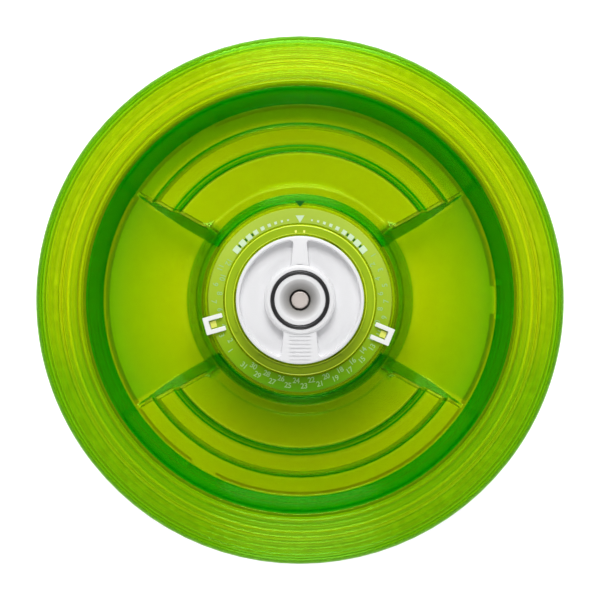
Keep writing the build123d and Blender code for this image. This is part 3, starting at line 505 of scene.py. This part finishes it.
def well_depth(r, steep):
    """Depth over the wells: turret's wall in two bands, and a floor that deepens outwards."""
    profile = ((46.3, 0.20), (46.6, 0.28), (48.3, 0.28), (48.8, 0.20), (49.2, 0.68), (50.4, 0.68),
               (50.9, 0.40), (51.5, 0.85), (55.2, 0.95), (56.4, 0.34), (58.0, 0.18), (75.0, 0.26),
               (90.0, 0.34), (96.5, 0.42))
    radii, depths = zip(*profile)
    return np.where(r > 97.6, steep, np.interp(r, radii, depths))


def rim_depth_with_painted_light(r, back):
    """Depth over the rim: paler on the ridges' crests as a painted highlight, greener at the outer edge, and
    greener in front as painted shade.
    """
    # painted highlight on the crests
    crest_highlight = np.cos(2 * math.pi * (r - RIDGE_FIRST) / RIDGE_PITCH)
    rim = 0.23 - 0.055 * crest_highlight - 0.03 * line_at(r, 121.0, 1.0) + 0.20 * between(r, 126.2, 127.7)
    # painted shade: greener towards the front
    return np.where(r < 108.2, FLAT, rim) + 0.01 + 0.13 * (1.0 - back) ** 3


def depth_with_painted_light(x, y, inset):
    """Depth attribute at each place: FLAT on a flat, up to 1 on a steep side, less on a painted highlight,
    and more under painted shade.
    """
    r = np.hypot(x, y)
    back = between(y, -40.0, 40.0)
    steep = steep_depth(x, y, r, inset)
    side = beside_well(x, y)
    in_well = 1.0 - between(side, 1.0, 2.2)
    depth = in_well * well_depth(r, steep) + (1.0 - in_well) * terrace_depth_with_painted_light(r, side, back, steep)
    # painted highlights: bright lines on the dish's wall in front
    depth = depth - (0.45 * line_at(r, 101.8, 0.4) + 0.30 * line_at(r, 104.8, 0.8)) * (1.0 - back)
    return np.where(r > 106.6, rim_depth_with_painted_light(r, back), depth)


# ---------------------------------------------------------------- the lid's mesh

# Rows of vertices, as (from radius, to radius, spacing), close together where the surface bends.
TOP_ROWS = ((BORE_R, 37.7, 6.0), (37.7, 45.78, 1.6), (45.78, 45.92, 0.07), (45.92, 47.48, 0.52),
            (47.48, 47.62, 0.07), (47.62, 59.0, 0.28), (59.0, 73.6, 1.4), (73.6, 78.4, 0.25),
            (78.4, 86.8, 1.2), (86.8, 90.0, 0.25), (90.0, 96.0, 0.8), (96.0, 108.4, 0.4))
UNDER_ROWS = ((BORE_R, 44.0, 8.0), (44.0, 57.0, 0.5), (57.0, 71.5, 1.8), (71.5, 76.5, 0.5), (76.5, 84.5, 1.6),
              (84.5, 88.5, 0.5), (88.5, 97.0, 1.0), (97.0, 111.0, 0.6))


def quarter_angles(r):
    """Directions of the first quarter's columns at radius r, close together at the well's straight side."""
    held = np.clip(r, 52.0, 108.0)
    line = np.arcsin(SIDE_OFFSET / SIDE_RUN / held) + math.atan(SIDE_SLOPE)
    near_from = line - math.radians(2.4)
    near_to = line + math.radians(8.0)
    well = np.linspace(0.0, near_from, 15, endpoint=False)
    near = np.linspace(near_from, near_to, 41)
    terrace = np.linspace(near_to, math.pi / 2, 13)[1:]
    return np.concatenate([well, near, terrace])


def full_angles(r):
    """Directions of every column, the first quarter mirrored into the others."""
    quarter = quarter_angles(r)
    half = np.concatenate([quarter[:-1], math.pi - quarter[:0:-1]])
    return np.concatenate([half, math.pi + half])


def rows_between(start, stop, step):
    count = max(1, round((stop - start) / step))
    return [start + (stop - start) * i / count for i in range(count)]


def quarter_round(centre_r, centre_z, radius, first, steps):
    """Rings round a quarter circle, from pointing up (0) or out (1) to pointing out (1) or down (2)."""
    rings = []
    for i in range(steps + 1):
        a = math.pi / 2 * (first + i / steps)
        rings.append((centre_r + radius * math.sin(a), centre_z + radius * math.cos(a)))
    return rings


def lid_rings():
    """Closed loop of rings over the top, round the skirt, back under, and up the turret's bore.

    Each is a radius and a height, where "top" and "under" stand for the lid's own surfaces."""
    outer = lid_radius / MM
    edge = edge_round / MM
    skirt = -skirt_depth / MM
    wall = lid_wall / MM
    inner = outer - wall
    rings = []
    for start, stop, step in (*TOP_ROWS, (108.4, outer - edge, 0.24)):
        rings += [(r, "top") for r in rows_between(start, stop, step)]
    rings += quarter_round(outer - edge, -edge, edge, 0, 8)
    rings += quarter_round(outer - SKIRT_ROUND, skirt + SKIRT_ROUND, SKIRT_ROUND, 1, 4)
    rings += [(inner + 0.5, skirt), (inner, skirt + 0.5)]
    rings += [(inner, -wall - 2.0), (inner - 0.6, -wall - 0.6), (inner - 2.0, -wall)]
    under = []
    for start, stop, step in (*UNDER_ROWS, (111.0, inner - 2.6, 3.0)):
        under += [(r, "under") for r in rows_between(start, stop, step)]
    return rings + under[::-1]


def build_lid():
    """One closed skin: the rings' vertices joined into quads, with the depth attribute on them."""
    underside = lid_wall / MM - UNDER_GAP
    verts, depths = [], []
    for r, height in lid_rings():
        angles = full_angles(r)
        x, y = r * np.cos(angles), r * np.sin(angles)
        if height in ("top", "under"):
            inset = 0.0 if height == "top" else underside
            z = lid_height(x, y, inset)
            depths.append(depth_with_painted_light(x, y, inset))
        else:
            z = np.full_like(x, height)
            depths.append(np.full_like(x, SKIRT))
        verts.append(np.stack([x * MM, y * MM, z * MM + rim_z], axis=1))
    ring_count, columns = len(verts), len(verts[0])
    faces = []
    for i in range(ring_count):
        j = (i + 1) % ring_count
        for c in range(columns):
            d = (c + 1) % columns
            faces.append((i * columns + c, j * columns + c, j * columns + d, i * columns + d))
    piece = mesh_object("lid_shell_moulding", np.concatenate(verts), faces, "lid", lid_green,
                        depth=np.concatenate(depths))
    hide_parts("lid_shell")


build_lid()

# ---------------------------------------------------------------- print on the dial

# Clock angles run clockwise in degrees from the back, +Y.
PRINT_Z = dial_z + 0.02 * MM
PRINT_T = 0.10 * MM
DAY_FROM, DAY_PITCH, DAY_COUNT = 58.5, 5.4, 31
MONTH_FROM, MONTH_PITCH, MONTH_COUNT = -126.0, 64.0 / 11, 12
ROWS = (42.4 * MM, 39.75 * MM)
FIGURE = 2.7 * MM
FONT_SIZE = 1.38 * FIGURE
SCALE_R = 39.9 * MM
SCALE_SQUARES = ((8.5, 0.9), (13.0, 1.1), (17.6, 1.35), (22.4, 1.6), (27.6, 1.95), (33.2, 2.3), (39.0, 2.75),
                 (45.2, 3.1), (51.4, 3.3))      # clock angle and size of each, on both sides
SCALE_GAPS = (36.1, 42.0, 48.3)
NOTCH_R = 47.6 * MM
COLLAR_DOTS = (-3.5, 3.5)
COLLAR_DOT_R = 33.9 * MM
COLLAR_TOP = 1.52 * MM      # above the rim
PAINTED_GLINT_R = 44.4 * MM
POINTERS = (("month_pointer", -105.75), ("day_pointer", 112.5))


def place(points, clock, radius):
    """Put plan points whose +Y is outwards at a radius and a clock angle."""
    a = math.radians(-clock)
    return [(x * math.cos(a) - (y + radius) * math.sin(a), x * math.sin(a) + (y + radius) * math.cos(a))
            for x, y in points]


def plate(outlines, base_z, thickness, name, material, body="lid"):
    """Thin raised shapes from closed anticlockwise outlines, joined as one piece."""
    verts, faces = [], []
    for outline in outlines:
        start, count = len(verts), len(outline)
        verts += [(x, y, base_z) for x, y in outline] + [(x, y, base_z + thickness) for x, y in outline]
        faces.append([start + count + i for i in range(count)])
        faces.append([start + count - 1 - i for i in range(count)])
        faces += [[start + i, start + (i + 1) % count, start + count + (i + 1) % count, start + count + i]
                  for i in range(count)]
    piece = mesh_object(name, verts, faces, body, material, smooth=False)


def figure_mesh(text):
    """Vertices and faces of a raised figure centred on the origin, read with its foot outwards."""
    curve = bpy.data.curves.new("figure", "FONT")
    curve.body = text
    curve.size = FONT_SIZE
    curve.align_x = "CENTER"
    curve.resolution_u = 4
    curve.extrude = PRINT_T / 2
    curve.offset = 0.00005
    curve.space_character = 0.92
    holder = bpy.data.objects.new("figure", curve)
    bpy.context.scene.collection.objects.link(holder)
    mesh = bpy.data.meshes.new_from_object(holder.evaluated_get(bpy.context.evaluated_depsgraph_get()))
    verts = [(-v.co.x, FIGURE / 2 - v.co.y, v.co.z) for v in mesh.vertices]
    faces = [tuple(polygon.vertices) for polygon in mesh.polygons]
    bpy.data.objects.remove(holder)
    bpy.data.curves.remove(curve)
    bpy.data.meshes.remove(mesh)
    return verts, faces


def numbers(name, first, pitch, count):
    """Figures from 1 up round the dial, in two staggered rows; first is a clock angle."""
    verts, faces = [], []
    for i in range(count):
        figure_verts, figure_faces = figure_mesh(str(i + 1))
        plan = place([(x, y) for x, y, z in figure_verts], first + pitch * i, ROWS[i % 2])
        start = len(verts)
        verts += [(x, y, PRINT_Z + PRINT_T / 2 + v[2]) for (x, y), v in zip(plan, figure_verts)]
        faces += [tuple(start + k for k in face) for face in figure_faces]
    piece = mesh_object(name, verts, faces, "lid", figure_pale, smooth=False)


def box(width, height, clock, radius):
    """Outline of a rectangle in millimetres, put on the dial."""
    x, y = width / 2 * MM, height / 2 * MM
    return place([(-x, -y), (x, -y), (x, y), (-x, y)], clock, radius)


def arrow(half_width, half_height, radius):
    """Outline of a triangle at the back that points to the middle."""
    x, y = half_width * MM, half_height * MM
    return place([(-x, y), (0, -y), (x, y)], 0, radius)


def build_print():
    numbers("day_numbers", DAY_FROM, DAY_PITCH, DAY_COUNT)
    numbers("month_numbers", MONTH_FROM, MONTH_PITCH, MONTH_COUNT)
    scale = [box(size, size, side * clock, SCALE_R) for side in (-1, 1) for clock, size in SCALE_SQUARES]
    scale.append(arrow(2.2, 1.8, SCALE_R + 0.1 * MM))
    plate(scale, PRINT_Z, PRINT_T, "scale_marks", print_white)
    notch = arrow(2.6, 1.6, NOTCH_R)
    plate([notch], rim_z + 0.02 * MM, 0.15 * MM, "hub_notch", dark_green)
    gaps = [box(0.9, 1.5, side * clock, SCALE_R) for side in (-1, 1) for clock in SCALE_GAPS]
    plate(gaps, PRINT_Z, PRINT_T / 2, "scale_gaps", dark_green)
    dots = [box(1.0, 1.2, clock, COLLAR_DOT_R) for clock in COLLAR_DOTS]
    plate(dots, rim_z + COLLAR_TOP, PRINT_T, "collar_dots", yellow_print_and_painted_glint)
    # painted glint: a pale yellow patch in each pointer's window stands for a spot of light
    for body, clock in POINTERS:
        painted_glint = box(3.2, 3.0, clock, PAINTED_GLINT_R)
        plate([painted_glint], PRINT_Z + PRINT_T + 0.03 * MM, 0.12 * MM, body + "_spot", yellow_print_and_painted_glint, body=body)


build_print()

# ---------------------------------------------------------------- floor, light and camera

FLOOR_HALF = 6.0
KEY_AT = (0.0, 0.62, 0.78)
FRONT_AT = (0.0, -1.3, 1.1)
CAMERA_Z = 1.30
SENSOR = 36.0
LID_FILLS = 0.88         # share of the picture's width that the lid takes up


def build_stage():
    """Plain floor, lit a little by itself so that it stays white under the object."""
    x = FLOOR_HALF
    mesh = bpy.data.meshes.new("floor")
    mesh.from_pydata([(-x, -x, 0), (x, -x, 0), (x, x, 0), (-x, x, 0)], [], [(0, 1, 2, 3)])
    floor = bpy.data.objects.new("floor", mesh)
    bpy.context.scene.collection.objects.link(floor)
    material, tree, shader = new_material("pale_floor")
    shader.inputs["Base Color"].default_value = (0.90, 0.90, 0.90, 1.0)
    shader.inputs["Roughness"].default_value = 0.8
    shader.inputs["Emission Color"].default_value = (1.0, 1.0, 1.0, 1.0)
    shader.inputs["Emission Strength"].default_value = 0.55
    mesh.materials.append(material)


def area_light(name, location, size, power, target=(0, 0, 0.12)):
    """Round soft light aimed at the object."""
    data = bpy.data.lights.new(name, "AREA")
    data.shape = "DISK"
    data.size = size
    data.energy = power
    light = bpy.data.objects.new(name, data)
    light.location = location
    bpy.context.scene.collection.objects.link(light)
    direction = Vector([t - p for t, p in zip(target, location)])
    light.rotation_euler = direction.to_track_quat("-Z", "Y").to_euler()


build_stage()
area_light("key", KEY_AT, size=0.50, power=6.6)
area_light("front", FRONT_AT, size=0.8, power=7.5)


def build_world():
    """Pale walls round the set and a dark ceiling, so the flat lid doesn't mirror white."""
    world = bpy.data.worlds.new("studio")
    bpy.context.scene.world = world
    world.use_nodes = True
    tree = world.node_tree
    coords = tree.nodes.new("ShaderNodeTexCoord")
    split = tree.nodes.new("ShaderNodeSeparateXYZ")
    tree.links.new(coords.outputs["Generated"], split.inputs["Vector"])
    sky = ramp(tree, split.outputs["Z"], (0.10, (1.0, 1.0, 1.0)), (0.75, (0.10, 0.10, 0.10)))
    tree.links.new(sky, tree.nodes["Background"].inputs["Color"])
    tree.nodes["Background"].inputs["Strength"].default_value = 1.1


build_world()

bpy.context.scene.view_settings.view_transform = "Standard"


def build_camera():
    """Straight down over the lid, framed on its edge."""
    data = bpy.data.cameras.new("camera")
    data.sensor_width = SENSOR
    distance = CAMERA_Z - (rim_z - edge_round)
    data.lens = SENSOR / 2 * distance * LID_FILLS / lid_radius
    camera = bpy.data.objects.new("camera", data)
    camera.location = (0.0, 0.0, CAMERA_Z)
    bpy.context.scene.collection.objects.link(camera)
    bpy.context.scene.camera = camera


build_camera()
